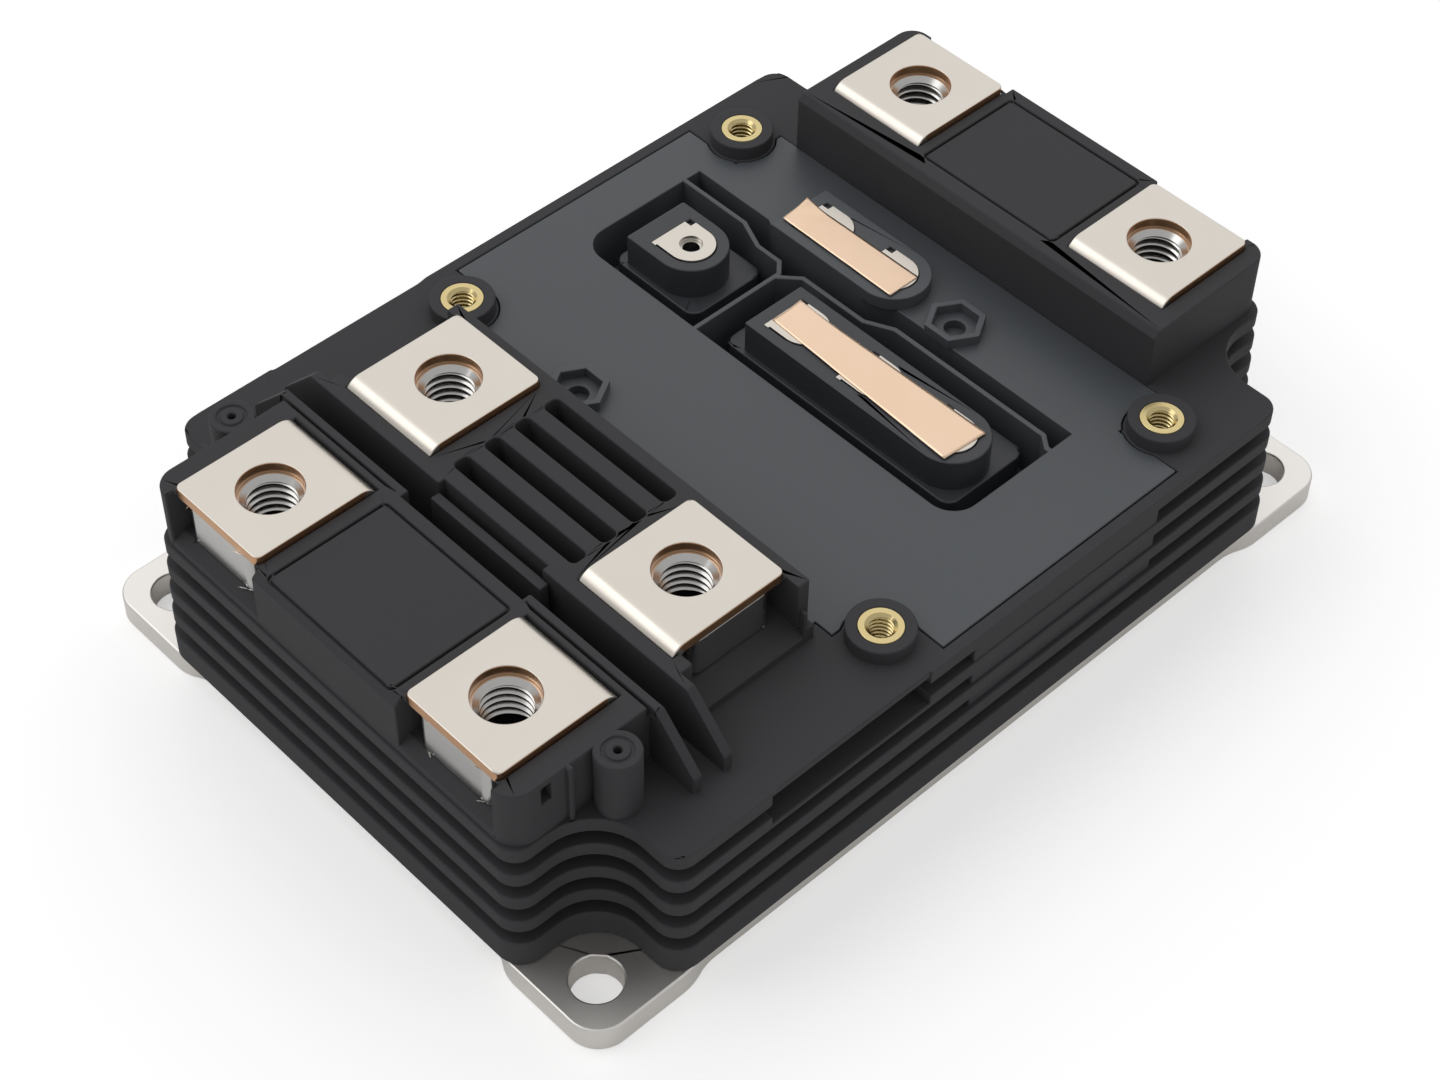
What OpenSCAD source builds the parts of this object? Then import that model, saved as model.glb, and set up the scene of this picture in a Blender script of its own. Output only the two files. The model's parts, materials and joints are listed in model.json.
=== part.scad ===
// Six-terminal power semiconductor module. Units: mm, Z up.
// Origin: centre of the base plate's underside. Front (-Y) = DC end, rear (+Y) = AC end.

/* [Base plate] */
// Overall width across the ears
base_w = 100; // [96:0.5:106]
// Overall length across the ears
base_l = 140; // [136:0.5:146]
// Plate thickness
base_t = 4.11; // [3:0.1:6]
// Ear corner radius
base_r = 4.69; // [2:0.1:6]
// Step back of the long edges between the ears
base_step_x = 1.27; // [0.5:0.1:2]
// Step back of the short edges between the ears
base_step_y = 1.86; // [0.5:0.1:2.5]
// Distance of the edge steps from the mounting holes
step_reach = 14.67; // [13.5:0.05:20]
// Length of the S-curve at each end of a step
step_len = 6.45; // [4:0.1:7]
// Mounting hole diameter
mount_hole_d = 6.84; // [6.2:0.1:7.4]
// Distance of the mounting holes from the long edges
mount_edge_x = 6.98; // [6:0.05:9]
// Distance of the mounting holes from the short edges
mount_edge_y = 6.45; // [5.5:0.05:9]

/* [Case walls] */
// Top of the deck above the base underside
deck_z = 26.39; // [24:0.1:29]
// Step back of the case behind the ears on the long sides
case_back_x = 0.05; // [0:0.05:1]
// Overhang of the case over the short edges
case_over_y = 0.19; // [0:0.01:0.6]
// Radius of the corner recesses round the mounting screws
corner_r = 6.85; // [6:0.05:7.5]
// Rounding of the end block corners
end_r = 3.81; // [3:0.1:6]
// Rounding of the side corners
side_r = 3.71; // [3:0.1:6]
// Height of the lowest rib
rib_low_h = 4.4; // [3:0.1:5]
// Height of one groove
groove_h = 2.15; // [1.5:0.05:2.6]
// Spacing of the grooves
groove_pitch = 4.44; // [3.8:0.02:4.6]
// Number of grooves
groove_n = 4; // [2:1:4]
// Depth of the grooves
groove_depth = 2.05; // [1:0.1:2.6]
// Step back of each rib against the one below it
rib_draft = 0.22; // [0:0.05:0.25]
// Wall between the lowest rib's face and the inner cavity
wall_t = 5.38; // [4.8:0.1:6]
// Thickness of the deck
deck_t = 2.93; // [2.4:0.1:3.6]
// Distance of the smooth side panel behind the front bosses
panel_front = 8.6; // [5:0.1:12]
// Distance of the smooth side panel in front of the rear bosses
panel_rear = 9.58; // [5:0.1:12]
// Distance of the long side recess behind the front of the second block
recess_front = 1.17; // [0.6:0.05:5]
// Length of the long side recess
recess_len = 27.47; // [20:0.5:30]
// Height of the long side recess
recess_h = 4.79; // [3:0.1:5]
// Thickness of the lip over the side recess
recess_lip_t = 1.17; // [0.8:0.1:1.6]
// Depth of the side recess behind the lowest rib's face
recess_depth = 3.81; // [2.6:0.1:4]
// Step back of the lip against the lowest rib's face
recess_lip_in = 1.08; // [0.8:0.1:1.5]

/* [Adhesive bead] */
// Distance of the bead behind the lowest rib's face
seal_in = 2.15; // [1.5:0.05:3]
// Width of the bead
seal_w = 1.96; // [1:0.02:2.4]
// Height of the bead
seal_h = 0.78; // [0.4:0.02:1.2]

/* [Terminal blocks] */
// Top of the main terminals above the base underside
term_z = 37.15; // [35:0.1:40]
// Height of the main terminals above their blocks
block_drop = 1.05; // [0.2:0.05:1.4]
// Step in of the front DC block behind the corner recess edge
dc1_side_in = 1.17; // [0.2:0.05:2.2]
// Step back of the front DC block behind the lowest rib
dc1_in = 1.28; // [0.4:0.05:2]
// Length of the front DC block at its middle
dc1_len = 21.8; // [21:0.05:23]
// Front corner radius of the front DC block
dc1_r = 3.42; // [2:0.1:5]
// Width of the creepage slot at its middle
slot_mid = 5.86; // [5.4:0.05:6.4]
// Length of the second DC block
dc2_len = 22.09; // [22:0.05:23]
// Step in of the second DC block behind the corner recess edge
dc2_side_in = 1.27; // [0.2:0.05:2.2]
// Step in of the AC block behind the corner recess edge
ac_side_in = 2.1; // [0.2:0.05:3]
// Length of the AC block
ac_len = 23.9; // [23.2:0.05:25]
// Step back of the AC block behind the lowest rib
ac_in = 1.0; // [0.4:0.05:2]
// Rear corner radius of the AC block
ac_r = 2.93; // [2:0.1:5]
// Height of the bevel along the block edges
block_bevel = 1.08; // [0.5:0.1:1.5]
// Distance of the flat middle of a block from the left screws
mid_left = 11.27; // [11:0.05:13]
// Distance of the flat middle of a block from the right screws
mid_right = 10.73; // [9.8:0.05:11.5]
// Thickness of the upright lips beside the creepage slot
lip_t = 1.27; // [0.9:0.1:1.6]
// Depth of the shallow groove in front of a lip
lip_groove = 1.47; // [0.8:0.1:2]
// Width of the slits in the second DC block
slit_w = 2.49; // [1.8:0.05:2.8]
// Spacing of the slits in the second DC block
slit_pitch = 5.08; // [4.6:0.05:5.3]
// Distance of the rearmost slit from the rear of its block
slit_back = 3.22; // [2.6:0.05:4]
// Number of slits
slit_n = 4; // [2:1:4]
// Depth of the slits
slit_depth = 9.29; // [5:0.1:10]
// Thickness of the rib that stands in the creepage slot
mid_rib_t = 1.47; // [1:0.1:1.6]
// Drop of that rib below the block tops
mid_rib_drop = 1.27; // [0.5:0.1:3]
// Width of the panel seam grooves
seam_w = 0.34; // [0.2:0.05:0.6]
// Depth of the panel seam grooves
seam_depth = 0.59; // [0.3:0.05:1]
// Thickness of the slanted fins
fin_t = 1.37; // [1:0.1:1.8]
// Reach of the fins beyond the block side
fin_reach = 7.9; // [5:0.1:9]
// Height of the fins at their outer end above the deck
fin_low = 2.7; // [1.5:0.1:5]
// Distance of the posts from the side of the front block
post_out = 2.2; // [1.5:0.05:2.8]
// Distance of the posts from the rear of the front block
post_back = 7.09; // [5:0.05:9]
// Radius of the posts
post_r = 3.03; // [2.4:0.1:3.4]
// Diameter of the hole in a post
post_hole_d = 1.08; // [0.8:0.1:2]

/* [Main terminals] */
// Spacing of the two terminals of a pair
term_pitch = 45.46; // [44.5:0.1:46.5]
// Distance of the front screws from the front of their block
term1_in = 10.02; // [9.4:0.05:10.6]
// Distance of the second screws from the front of their block
term2_in = 11.49; // [11.2:0.05:12]
// Distance of the AC screws from the rear of their block
term3_in = 10.21; // [9.7:0.05:11]
// Terminal sheet thickness
bar_t = 1.66; // [1.2:0.05:2]
// Width of a main terminal
term_w = 17.01; // [15.5:0.1:17.6]
// Length of a main terminal in front of its hole
term_front = 8.7; // [8:0.1:9.2]
// Length of a main terminal behind its hole
term_back = 9.68; // [8.6:0.1:10]
// Length of the front pair behind its hole
term1_back = 10.5; // [9.6:0.1:10.8]
// Length of the second pair in front of its hole
term2_front = 10.8; // [10:0.05:11.2]
// Length of the second pair behind its hole
term2_back = 8.7; // [8:0.1:9.2]
// Shift of the terminal sheet away from its hole, outwards
term_shift = 0.06; // [-0.2:0.02:0.2]
// Clearance hole for the main screws
term_hole_d = 8.8; // [8.4:0.1:9.4]
// Bend radius on the outside of a terminal
bend_r = 2.8; // [2:0.1:3.4]
// Corner radius of a terminal sheet
term_r = 0.98; // [0.4:0.1:1.5]
// Width of a captive nut
nut_w = 13.3; // [12.6:0.1:14]
// Length of a captive nut
nut_l = 14.57; // [13:0.1:14.6]
// Height of a captive nut
nut_h = 6.75; // [6:0.1:7.2]
// Corner radius of a captive nut
nut_r = 1.56; // [0.6:0.1:2.5]
// Bore of a captive nut before threading
nut_bore_d = 6.65; // [6.5:0.05:7]
// Side clearance of a captive nut in its pocket
nut_clear = 0.1; // [0.05:0.05:0.3]
// Reach of the open nut pockets from the screw towards the middle
pocket_in = 8.78; // [8.6:0.02:9]
// Reach of the open nut pockets from the screw away from the middle
pocket_out = 8.72; // [8.6:0.02:9.4]
// Length of the wide mouth of a nut pocket
mouth_l = 3.91; // [2:0.1:6]
// Fall of the pocket floor to its mouth
floor_fall = 1.17; // [0.4:0.1:1.6]
// Screw relief under a captive nut
relief_depth = 2.5; // [1:0.1:3]

/* [Control screw inserts] */
// Distance of the insert bosses from the long sides
insert_in = 9.38; // [8:0.05:10]
// Distance of the front insert bosses from the second DC block
insert_front = 6.06; // [5.6:0.05:8]
// Distance of the rear insert bosses from the AC block
insert_rear = 4.82; // [4.4:0.05:6]
// Boss diameter
insert_boss_d = 9.29; // [8:0.1:9.8]
// Boss height above the deck
insert_boss_h = 2.15; // [1:0.1:4]
// Insert diameter
insert_d = 6.01; // [5:0.05:6.6]
// Insert length
insert_l = 7; // [5:0.1:8]
// Insert bore before threading
insert_bore_d = 3.25; // [3.1:0.05:3.5]

/* [Top cover] */
// Distance of the cover from the long sides
cover_in = 2.83; // [2.4:0.05:4]
// Distance of the wide part of the cover behind the front bosses
cover_back0 = 4.59; // [4:0.05:6]
// Distance of the wide part of the cover in front of the rear bosses
cover_back1 = 4.4; // [4:0.05:6]
// Step in of the rear tongue behind the boss centres
cover_tongue_in = 3.42; // [2.5:0.05:5]
// Step in of the front tongue behind the boss centres
cover_front_in = 4.3; // [3.5:0.05:6]
// Cover thickness at its rim
cover_t = 1.56; // [1:0.1:2]
// Width of the ledge that carries the cover
cover_ledge = 1.56; // [1:0.1:2]
// Gap around the cover
cover_gap = 0.15; // [0.1:0.05:0.3]
// Gap round the insert bosses
boss_gap = 0.49; // [0.3:0.1:1]
// Distance of the well from the left edge of the cover
well_left = 7.53; // [6.5:0.05:8.5]
// Distance of the well from the right edge of the cover
well_right = 13.98; // [13:0.05:16]
// Length of the well
well_len = 23.02; // [22.5:0.05:24]
// Distance of the well from the AC block
well_rear = 14.2; // [13:0.05:15]
// Depth of the well below the deck
well_depth = 8.6; // [6:0.1:9]
// Wall and floor thickness of the well
well_t = 1.2; // [0.8:0.1:1.6]
// Thickness of the thin walls in the well
baffle_t = 0.78; // [0.6:0.05:1.2]
// Distance of the front line of the thin walls from the well rear edge
baffle_front_in = 4.99; // [4.8:0.05:5.6]
// Distance of the rear line of the thin walls from the well rear edge
baffle_rear_in = 2.94; // [2.4:0.05:3.3]
// Gap from the left plateau to the wall that parts the well
baffle_gap = 3.82; // [3:0.05:4.4]
// Height of the islands above the deck
island_h = 2.15; // [1:0.1:3]
// Width of the islands
island_w = 10.95; // [10:0.1:12]
// Distance of the cover island from the parting wall, to the left
island2_left = 6.45; // [5:0.05:8]
// Straight length of the cover island
island2_len = 18.81; // [17:0.05:20]
// Distance of the cover island centre line from the AC block
island2_rear = 10.83; // [10:0.05:11.4]
// Distance of the rear hexagon boss from the cover island centre
hex_right = 12.08; // [11:0.05:14]
// Second hexagon boss position across
hex2_x = -17.32; // [-20:0.1:-14]
// Distance of the front hexagon boss from the second DC block
hex2_front = 6.78; // [5:0.05:12]
// Hexagon boss outer size across corners
hex_d = 8.99; // [8:0.1:10]
// Hexagon boss pocket across corners
hex_pocket_d = 6.84; // [5:0.1:7.4]
// Hexagon boss height above the deck
hex_h = 1.56; // [1:0.1:3]

/* [Control terminal holder] */
// Top of the holder's plateaus
plateau_z = 23.46; // [22:0.1:25]
// Gap from the well to the left plateau
plat_left = 3.03; // [2:0.05:4]
// Width of the left plateau
plat1_w = 16.71; // [16:0.05:18]
// Gap from the parting wall to the right plateau
plat3_gap = 2.34; // [1.8:0.05:3]
// Gap from the right plateau to the well
plat_right = 3.62; // [2:0.05:4.5]
// Gap from the front of the well to the plateaus
plat_front = 3.27; // [2.5:0.05:3.6]
// Gap from the front line of the thin walls to the plateaus
plat_rear = 0.98; // [0.8:0.05:1.6]
// Corner radius of the plateaus
plat_r = 1.96; // [1:0.1:3]
// Distance of the islands from the front edge of their plateau
island_front = 0.79; // [0.3:0.02:1.6]
// Distance of the left island from the left edge of its plateau
island1_in = 2.05; // [1:0.05:2.6]
// Straight length of the left island
island1_len = 7.48; // [6:0.05:8.4]
// Distance of the right island from the left edge of its plateau
island3_in = 3.23; // [1:0.05:4]
// Straight length of the right island
island3_len = 34.02; // [32:0.05:35]
// Gap between the plateaus and the well floor
holder_gap = 0.2; // [0.1:0.05:0.4]
// Thickness of the holder's beam
beam_t = 2; // [1.4:0.1:3]
// Underside of the holder's beam
beam_z = 11.73; // [10.5:0.1:13]

/* [Control terminals] */
// Sheet thickness
aux_t = 0.8; // [0.5:0.05:1]
// Width of a control terminal
aux_w = 7.14; // [6:0.1:8]
// Length from the screw hole to the straight edge
aux_l = 4.01; // [3:0.1:5]
// Clearance hole in a control terminal
aux_hole_d = 3.32; // [3.2:0.05:3.8]
// Height of the control terminals above their island
aux_proud = 0.2; // [0:0.05:0.5]
// Spacing of the control terminals on an island
aux_pitch = 13.88; // [12:0.1:14.6]
// Width of a control terminal's lead
lead_w = 1.6; // [1:0.1:2]
// Nut width across flats
aux_nut_af = 5.5; // [5:0.1:6]
// Nut height
aux_nut_h = 2.4; // [1.8:0.1:3]
// Nut bore before threading
aux_nut_bore_d = 2.5; // [2.3:0.05:2.7]
// Shorting foil thickness
foil_t = 0.15; // [0.1:0.01:0.3]
// Width of the foils
foil_w = 5.6; // [4.5:0.1:6.5]
// Distance of the short foil from the square end of its island
foil_in = 0.4; // [0.2:0.1:1.5]
// Reach of the foils beyond the centre of the round ends
foil_out = 3.2; // [2:0.1:4.5]
// Distance of the long foil from the square end of its island
foil3_in = 2.4; // [1.5:0.1:4]

/* [Power circuit] */
// Substrate width
sub_w = 35.19; // [30:0.5:36]
// Substrate length
sub_l = 32.26; // [32:0.5:33]
// Substrate spacing across
sub_pitch_x = 41.06; // [40:0.5:44]
// Substrate spacing along
sub_pitch_y = 35.19; // [34.5:0.5:37]
// Solder thickness
solder_t = 0.2; // [0.1:0.05:0.3]
// Copper thickness on the ceramic
cu_t = 0.4; // [0.2:0.05:0.6]
// Ceramic thickness
cer_t = 0.7; // [0.4:0.05:1]
// Border of bare ceramic
cer_border = 0.8; // [0.5:0.1:1.5]
// Half width of the middle track
mid_col = 3.1; // [2.6:0.1:3.6]
// Gap between tracks
track_gap = 0.6; // [0.4:0.05:0.8]
// Middle line of the gate track
gate_y = -3.4; // [-3.8:0.1:-3]
// Width of the gate track
gate_w = 3; // [2:0.1:3.4]
// Width of the control track
aux_strip_w = 3.6; // [3.2:0.1:4]
// Height of the joining sheets in the case
sheet_h = 6; // [5:0.1:7]
// Transistor chip width
igbt_w = 11.6; // [9:0.1:12]
// Transistor chip length
igbt_l = 10.8; // [9:0.1:11.4]
// Diode chip width
diode_w = 9.6; // [7:0.1:11]
// Diode chip length
diode_l = 8; // [6:0.1:9]
// Chip thickness
chip_t = 0.35; // [0.2:0.05:0.5]
// Bond wire diameter
wire_d = 0.4; // [0.2:0.05:0.5]
// Width of a busbar foot
foot_w = 4.8; // [3.5:0.1:5.6]
// Thickness of the gel layer
gel_h = 3.4; // [2:0.1:4]

/* [Hidden] */
$fn = 64;
e = 0.01;
half_w = base_w / 2 - case_back_x;
half_l = base_l / 2 + case_over_y;
mx = base_w / 2 - mount_edge_x;
my = base_l / 2 - mount_edge_y;
end_half = mx - corner_r;
side_half = my - corner_r;
step_half_x = mx - step_reach;
step_half_y = my - step_reach;
dc1_half = end_half - dc1_side_in;
dc2_half = end_half - dc2_side_in;
ac_half = end_half - ac_side_in;
dc1_y0 = -half_l + dc1_in;
dc1_y1 = dc1_y0 + dc1_len;
dc2_y0 = dc1_y1 + slot_mid;
dc2_y1 = dc2_y0 + dc2_len;
ac_y1 = half_l - ac_in;
ac_y0 = ac_y1 - ac_len;
slit_y = dc2_y1 - slit_back;
fin_x1 = dc2_half + fin_reach;
post_x = dc1_half + post_out;
post_y = dc1_y1 - post_back;
term1_y = dc1_y0 + term1_in;
term2_y = dc2_y0 + term2_in;
term3_y = ac_y1 - term3_in;
insert_x = half_w - insert_in;
insert_y0 = dc2_y1 + insert_front;
insert_y1 = ac_y0 - insert_rear;
panel_y0 = insert_y0 + panel_front;
panel_y1 = insert_y1 - panel_rear;
recess_y0 = dc2_y0 + recess_front;
recess_y1 = recess_y0 + recess_len;
cover_half = half_w - cover_in;
cover_y0 = insert_y0 + cover_back0;
cover_y1 = insert_y1 - cover_back1;
cover_tongue = insert_x - cover_tongue_in;
cover_front = insert_x - cover_front_in;
well_x0 = -cover_half + well_left;
well_x1 = cover_half - well_right;
well_y1 = ac_y0 - well_rear;
well_y0 = well_y1 - well_len;
baffle_y0 = well_y1 - baffle_front_in;
baffle_y1 = well_y1 - baffle_rear_in;
plat1_x0 = well_x0 + plat_left;
plat1_x1 = plat1_x0 + plat1_w;
baffle_x = plat1_x1 + baffle_gap;
plat3_x0 = baffle_x + plat3_gap;
plat3_x1 = well_x1 - plat_right;
plat_y0 = well_y0 + plat_front;
plat_y1 = baffle_y0 - plat_rear;
island1_y = plat_y0 + island_front + island_w / 2;
island1_x0 = plat1_x0 + island1_in;
island1_x1 = island1_x0 + island1_len;
island3_x0 = plat3_x0 + island3_in;
island3_x1 = island3_x0 + island3_len;
island2_x0 = baffle_x - island2_left;
island2_x1 = island2_x0 + island2_len;
island2_y = ac_y0 - island2_rear;
hex_x = island2_x1 + hex_right;
hex_y = island2_y;
hex2_y = dc2_y1 + hex2_front;
jog0 = island2_x0 - 2.7;
jog1 = island2_x1 + 3.2;
jog_run = 4;
groove_z = base_t + rib_low_h;
core_in = groove_depth + rib_draft * groove_n;
top_in = rib_draft * groove_n;
cavity_z = deck_z - deck_t;
tx = term_pitch / 2;
block_z = term_z - block_drop;
pocket_x0 = tx - pocket_in;
pocket_x1 = tx + pocket_out;
mid_x0 = -tx + mid_left;
mid_x1 = tx - mid_right;
sheet_z = term_z - bar_t;
nut_z = sheet_z - nut_h;
cover_z = deck_z - cover_t;
dc2_side_y = dc2_y0 - lip_t + 0.3;
slot_y0 = dc1_y1 + lip_t;
slot_y1 = dc2_side_y;
well_jog = well_y1 - island2_y + island_w / 2;
leg1_y = term1_y + term1_back - bar_t;
leg2_y = term2_y - term2_front;
leg3_y = term3_y - term_back;
well_floor = deck_z - well_depth;
island_top = deck_z + island_h;
island_r = island_w / 2;
aux_top = island_top + aux_proud;
aux_z = aux_top - aux_t;
aux_nut_z = aux_z - aux_nut_h;
sub_z = base_t + solder_t;
cer_z = sub_z + cu_t;
track_z = cer_z + cer_t;
track_top = track_z + cu_t;
chip_z = track_top + solder_t;
chip_top = chip_z + chip_t;
gel_z = beam_z - gel_h;
foot_t = bar_t;
lead_y = sub_l / 2 - cer_border - lead_w / 2;
lead2_y = island2_y - aux_w / 2 + 1.4;
row_y = [-sub_pitch_y, 0, sub_pitch_y];
aux1 = [[island1_x1, island1_y]];
aux2 = [[island2_x1, island2_y], [island2_x1 - aux_pitch + 1.2, island2_y]];
aux3 = [for (i = [0:2]) [island3_x1 - i * aux_pitch, island1_y]];
slit_x0 = mid_x0 + 0.2;
slit_x1 = mid_x1;
dc2_side_pocket0 = leg2_y + bar_t - term2_y;
dc2_side_pocket1 = term2_back;
bar1_z = cavity_z - sheet_h;
bar2_z = cavity_z - sheet_h;
aux_strip_y = sub_l / 2 - cer_border - aux_strip_w;
chip_x = (mid_col + track_gap + sub_w / 2 - cer_border) / 2;
igbt_y = (gate_y + gate_w / 2 + track_gap + aux_strip_y - track_gap) / 2;
diode_y = (gate_y - gate_w / 2 - track_gap - sub_l / 2 + cer_border) / 2;

c_case = [0.22, 0.22, 0.24];
c_cover = [0.30, 0.31, 0.34];
c_nickel = [0.86, 0.83, 0.80];
c_copper = [0.85, 0.55, 0.35];

// ---------- helpers ----------
module both_x() { children(); mirror([1, 0, 0]) children(); }
module both_y() { children(); mirror([0, 1, 0]) children(); }
module four() { both_x() both_y() children(); }

// box from two corners
module box(a, b) { translate(a) cube([b[0] - a[0], b[1] - a[1], b[2] - a[2]]); }
module rect(x0, y0, x1, y1) { translate([x0, y0]) square([x1 - x0, y1 - y0]); }

// rectangle with four round corners
module rrect(x0, y0, x1, y1, r) {
    rect(x0 + r, y0, x1 - r, y1);
    rect(x0, y0 + r, x1, y1 - r);
    for (x = [x0 + r, x1 - r], y = [y0 + r, y1 - r]) translate([x, y]) circle(r);
}

// upright slab from a 2D shape between two heights
module slab(z0, z1) { translate([0, 0, z0]) linear_extrude(height = z1 - z0) children(); }

// unit normal of a line from p to q, and the mitred side points of a line of points
function nrm(p, q) = let (d = q - p) [-d[1], d[0]] / norm(d);
function side(pts, h) = [for (i = [0:len(pts) - 1]) let (
    n0 = nrm(pts[max(i - 1, 0)], pts[max(i - 1, 0) + 1]),
    n1 = nrm(pts[min(i, len(pts) - 2)], pts[min(i, len(pts) - 2) + 1]),
    m = (n0 + n1) / (1 + n0 * n1)) pts[i] + m * h];
module path(pts, w) {
    back = side(pts, -w / 2);
    polygon(concat(side(pts, w / 2), [for (i = [len(pts) - 1:-1:0]) back[i]]));
}

// bar with one square end and one round end
module tongue(x0, xc, y, r) { rect(x0, y - r, xc, y + r); translate([xc, y]) circle(r); }

// ---------- base plate ----------
// S-curve step back along an edge that runs in Y, edge at x = edge
module edge_step(edge, half, depth, run) {
    r = (run * run + depth * depth) / (4 * depth);
    rect(edge - depth, -half, edge + 1, half);
    both_y() {
        intersection() {
            rect(edge - depth, half, edge + 1, half + run / 2);
            translate([edge - depth + r, half]) circle(r, $fn = 128);
        }
        difference() {
            rect(edge - depth, half + run / 2, edge + 1, half + run);
            translate([edge - r, half + run]) circle(r, $fn = 128);
        }
    }
}
module base_outline() {
    difference() {
        rrect(-base_w / 2, -base_l / 2, base_w / 2, base_l / 2, base_r);
        both_x() edge_step(base_w / 2, step_half_y, base_step_x, step_len);
        both_y() rotate(90) edge_step(base_l / 2, step_half_x, base_step_y, step_len);
    }
}
module base_plate() color([0.88, 0.87, 0.84])
    slab(0, base_t) difference() {
        base_outline();
        four() translate([mx, my]) circle(d = mount_hole_d);
    }

// ---------- case ----------
// outer outline with concave corner recesses round the mounting screws, stepped in by d
module outline(d) {
    corner = corner_r + d;
    rrect(-end_half + d, -half_l + d, end_half - d, half_l - d, max(0.6, end_r - d));
    rrect(-half_w + d, -side_half + d, half_w - d, side_half - d, max(0.6, side_r - d));
    four() difference() {
        rect(end_half - d - 2, side_half - d - 2, end_half - d + corner, side_half - d + corner);
        translate([end_half - d + corner, side_half - d + corner]) circle(corner);
    }
}
module ribbed_wall() {
    slab(base_t, deck_z) outline(core_in);
    slab(base_t, groove_z) outline(0);
    for (i = [1:groove_n]) {
        z = groove_z + (i - 1) * groove_pitch + groove_h;
        slab(z, i == groove_n ? deck_z : groove_z + i * groove_pitch) outline(rib_draft * i);
    }
    both_x() box([half_w - core_in - 1, panel_y0, groove_z + groove_h + 0.5],
        [half_w - top_in, panel_y1, deck_z]);
}
module side_recess() {
    z1 = deck_z - recess_lip_t;
    both_x() {
        box([half_w - recess_depth, recess_y0, z1 - recess_h], [half_w + 1, recess_y1, z1]);
        box([half_w - recess_lip_in, recess_y0, z1 - e], [half_w + 1, recess_y1, deck_z + e]);
    }
}
// thin rectangular seam groove cut from above
module seam(x0, y0, x1, y1, z) {
    slab(z - seam_depth, z + e) difference() {
        rrect(x0, y0, x1, y1, 0.8);
        rrect(x0 + seam_w, y0 + seam_w, x1 - seam_w, y1 - seam_w, 0.5);
    }
}
module dc1_block() {
    slab(deck_z - 1, block_z) difference() {
        union() {
            rect(-dc1_half, dc1_y0 + dc1_r, dc1_half, dc1_y1);
            rect(-dc1_half + dc1_r, dc1_y0, dc1_half - dc1_r, dc1_y1);
            both_x() translate([dc1_half - dc1_r, dc1_y0 + dc1_r]) circle(dc1_r);
            rect(mid_x1, dc1_y1 - e, dc1_half, slot_y0);
            rect(-dc1_half, dc1_y1 - e, mid_x0, slot_y0);
        }
    }
    // posts beside the block
    both_x() {
        slab(deck_z - 1, block_z) {
            translate([post_x, post_y]) circle(post_r);
            rect(dc1_half - 1, post_y - post_r * 0.6, post_x, post_y + post_r * 0.6);
            rect(dc1_half - 1, post_y - post_r - 3.2, dc1_half + 0.7, post_y - post_r - 2.4);
        }
    }
}
module dc2_block() {
    slab(deck_z - 1, block_z) {
        rect(mid_x0, dc2_y0, mid_x1, dc2_y1);
        both_x() rect(pocket_x0 - 4, dc2_side_y, pocket_x0 + 6, dc2_y1);
        both_x() rect(pocket_x0, dc2_side_y, dc2_half - 1.2, dc2_y1);
    }
    slab(deck_z - 1, nut_z) both_x() rect(pocket_x0, dc2_side_y, dc2_half, dc2_y1);
    // hook tab at the rear end of the side ledge
    both_x() slab(deck_z - 1, nut_z + 3.2) rect(dc2_half - 0.8, dc2_y1 - 3.3, dc2_half, dc2_y1 - 1.3);
}
module ac_block() {
    slab(deck_z - 1, block_z) {
        rect(-ac_half, ac_y0, ac_half, ac_y1 - ac_r);
        rect(-ac_half + ac_r, ac_y0, ac_half - ac_r, ac_y1);
        both_x() translate([ac_half - ac_r, ac_y1 - ac_r]) circle(ac_r);
    }
}
module fin(y) {
    x0 = dc2_half - 2;
    translate([0, y + fin_t, 0]) rotate([90, 0, 0]) linear_extrude(height = fin_t)
        polygon([[x0, deck_z - 1], [fin_x1, deck_z - 1], [fin_x1, deck_z + fin_low],
            [dc2_half + 1.2, block_z], [x0, block_z]]);
}
// bevel along the front or rear top edge of a block
module edge_bevel(x0, x1, y, s) {
    b = block_bevel;
    translate([x0, y, block_z]) rotate([90, 0, 90]) linear_extrude(height = x1 - x0)
        polygon([[-s * e * 100, -b], [-s * e * 100, 1], [s * b * 0.9, 1], [s * b * 0.9, e], [0, -b]]);
}
// open nut pocket with its mouth towards -Y, terminal hole at the origin
module nut_pocket(front, x0, x1, side) {
    nw = nut_w / 2 + nut_clear;
    floor0 = nut_z;
    ny0 = -front + 0.2;
    // seat of the nut
    slab(floor0, sheet_z + e) rrect(-nw, ny0 - 1, nw, ny0 + nut_l + nut_clear, nut_r + nut_clear);
    // wide mouth with a sloping floor
    translate([x0, 0, 0]) rotate([90, 0, 90]) linear_extrude(height = x1 - x0)
        polygon([[ny0 + mouth_l, floor0], [ny0 + 0.2, floor0], [-side, floor0 - floor_fall],
            [-side, term_z + e], [-front + e, term_z + e], [-front + e, sheet_z + e],
            [ny0 + mouth_l, sheet_z + e]]);
    // screw relief
    translate([0, 0, floor0 - relief_depth]) cylinder(d = term_hole_d, h = relief_depth + 1);
}
module main_bosses() {
    for (y = [insert_y0, insert_y1]) both_x()
        translate([insert_x, y, deck_z - 1]) cylinder(d = insert_boss_d, h = insert_boss_h + 1);
}
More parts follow.
